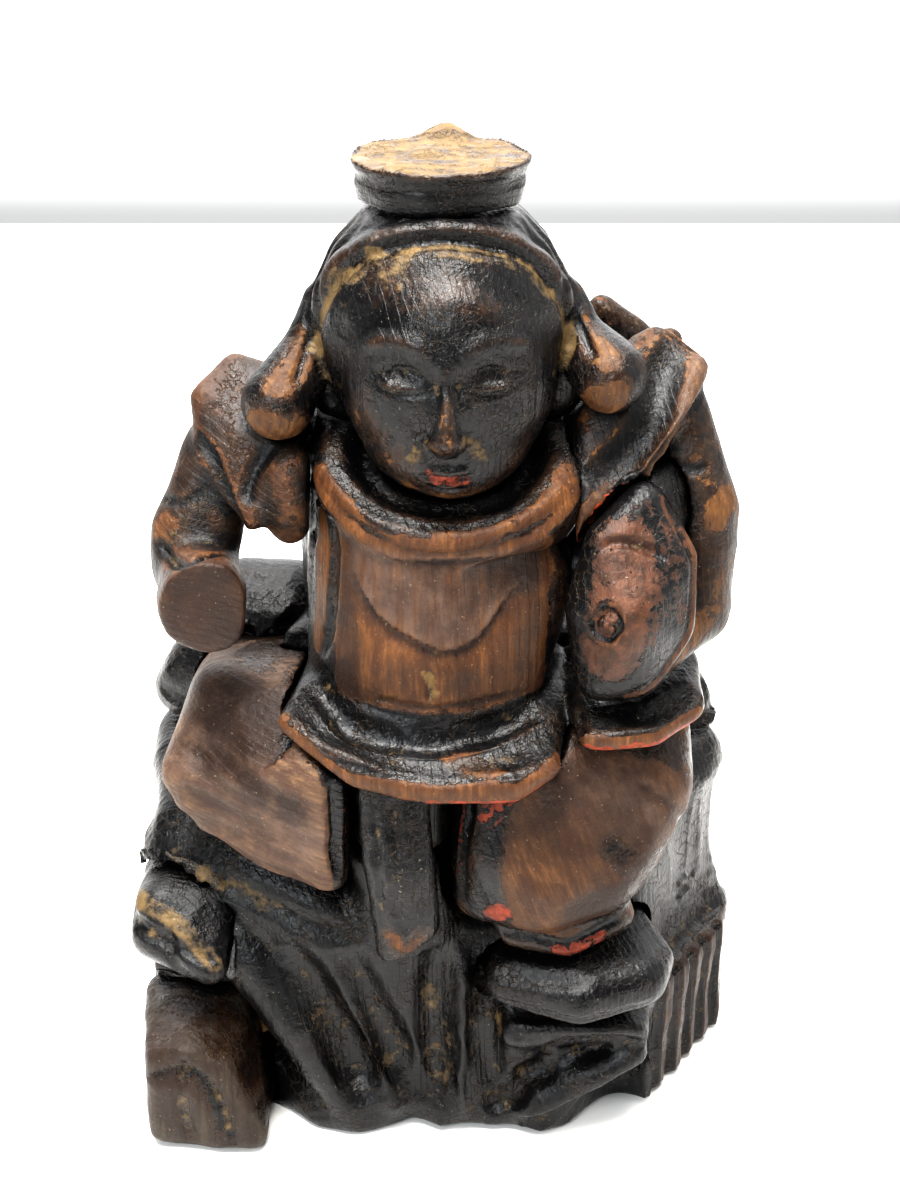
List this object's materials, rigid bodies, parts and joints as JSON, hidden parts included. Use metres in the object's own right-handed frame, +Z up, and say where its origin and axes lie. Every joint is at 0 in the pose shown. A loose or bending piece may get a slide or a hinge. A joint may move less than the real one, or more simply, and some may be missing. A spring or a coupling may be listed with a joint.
{
  "type": "carved wooden figurine",
  "caption": "Seated man in a short jacket, a fish held under the left arm, on a craggy rock; joined-block wood carving in worn black and red lacquer, flat on its underside",
  "frame": {"origin": "centre of the underside: the middle of the bounding box, on the plane the rock stands on", "axes": "+Z up, -Y is the front the man faces, +X is the viewer's right, which is the man's left side"},
  "size_m": [0.082, 0.0638, 0.1304],
  "materials": {
    "black_lacquer": "worn and crackled black lacquer over carved softwood, soft gloss",
    "worn_wood": "brown softwood with the lacquer rubbed off, oiled by handling",
    "red_lacquer": "flaking red lacquer with black remains over softwood",
    "bamboo": "split bamboo, shaved round, unfinished"
  },
  "bodies": {
    "root": {"hat": "black_lacquer", "head": "black_lacquer", "fish": "red_lacquer", "fish_tail": "black_lacquer", "sash_end": "black_lacquer", "left_foot": "black_lacquer", "right_arm": "worn_wood", "left_arm": "worn_wood", "body": "worn_wood", "right_knee": "worn_wood", "left_knee": "worn_wood", "upper_stone": "black_lacquer", "lower_stone": "worn_wood", "upper_rock": "black_lacquer", "main_rock": "black_lacquer", "hat_peg": "bamboo", "neck_peg": "bamboo", "right_arm_peg_upper": "bamboo", "right_arm_peg_lower": "bamboo", "left_arm_peg_upper": "bamboo", "left_arm_peg_lower": "bamboo", "fish_peg": "bamboo", "tail_peg": "bamboo", "seat_peg_right": "bamboo", "seat_peg_left": "bamboo", "right_knee_peg": "bamboo", "left_knee_peg": "bamboo", "foot_peg": "bamboo", "sash_peg": "bamboo", "upper_rock_peg_right": "bamboo", "upper_rock_peg_left": "bamboo", "upper_stone_peg": "bamboo", "lower_stone_peg": "bamboo"}
  },
  "joints": []
}
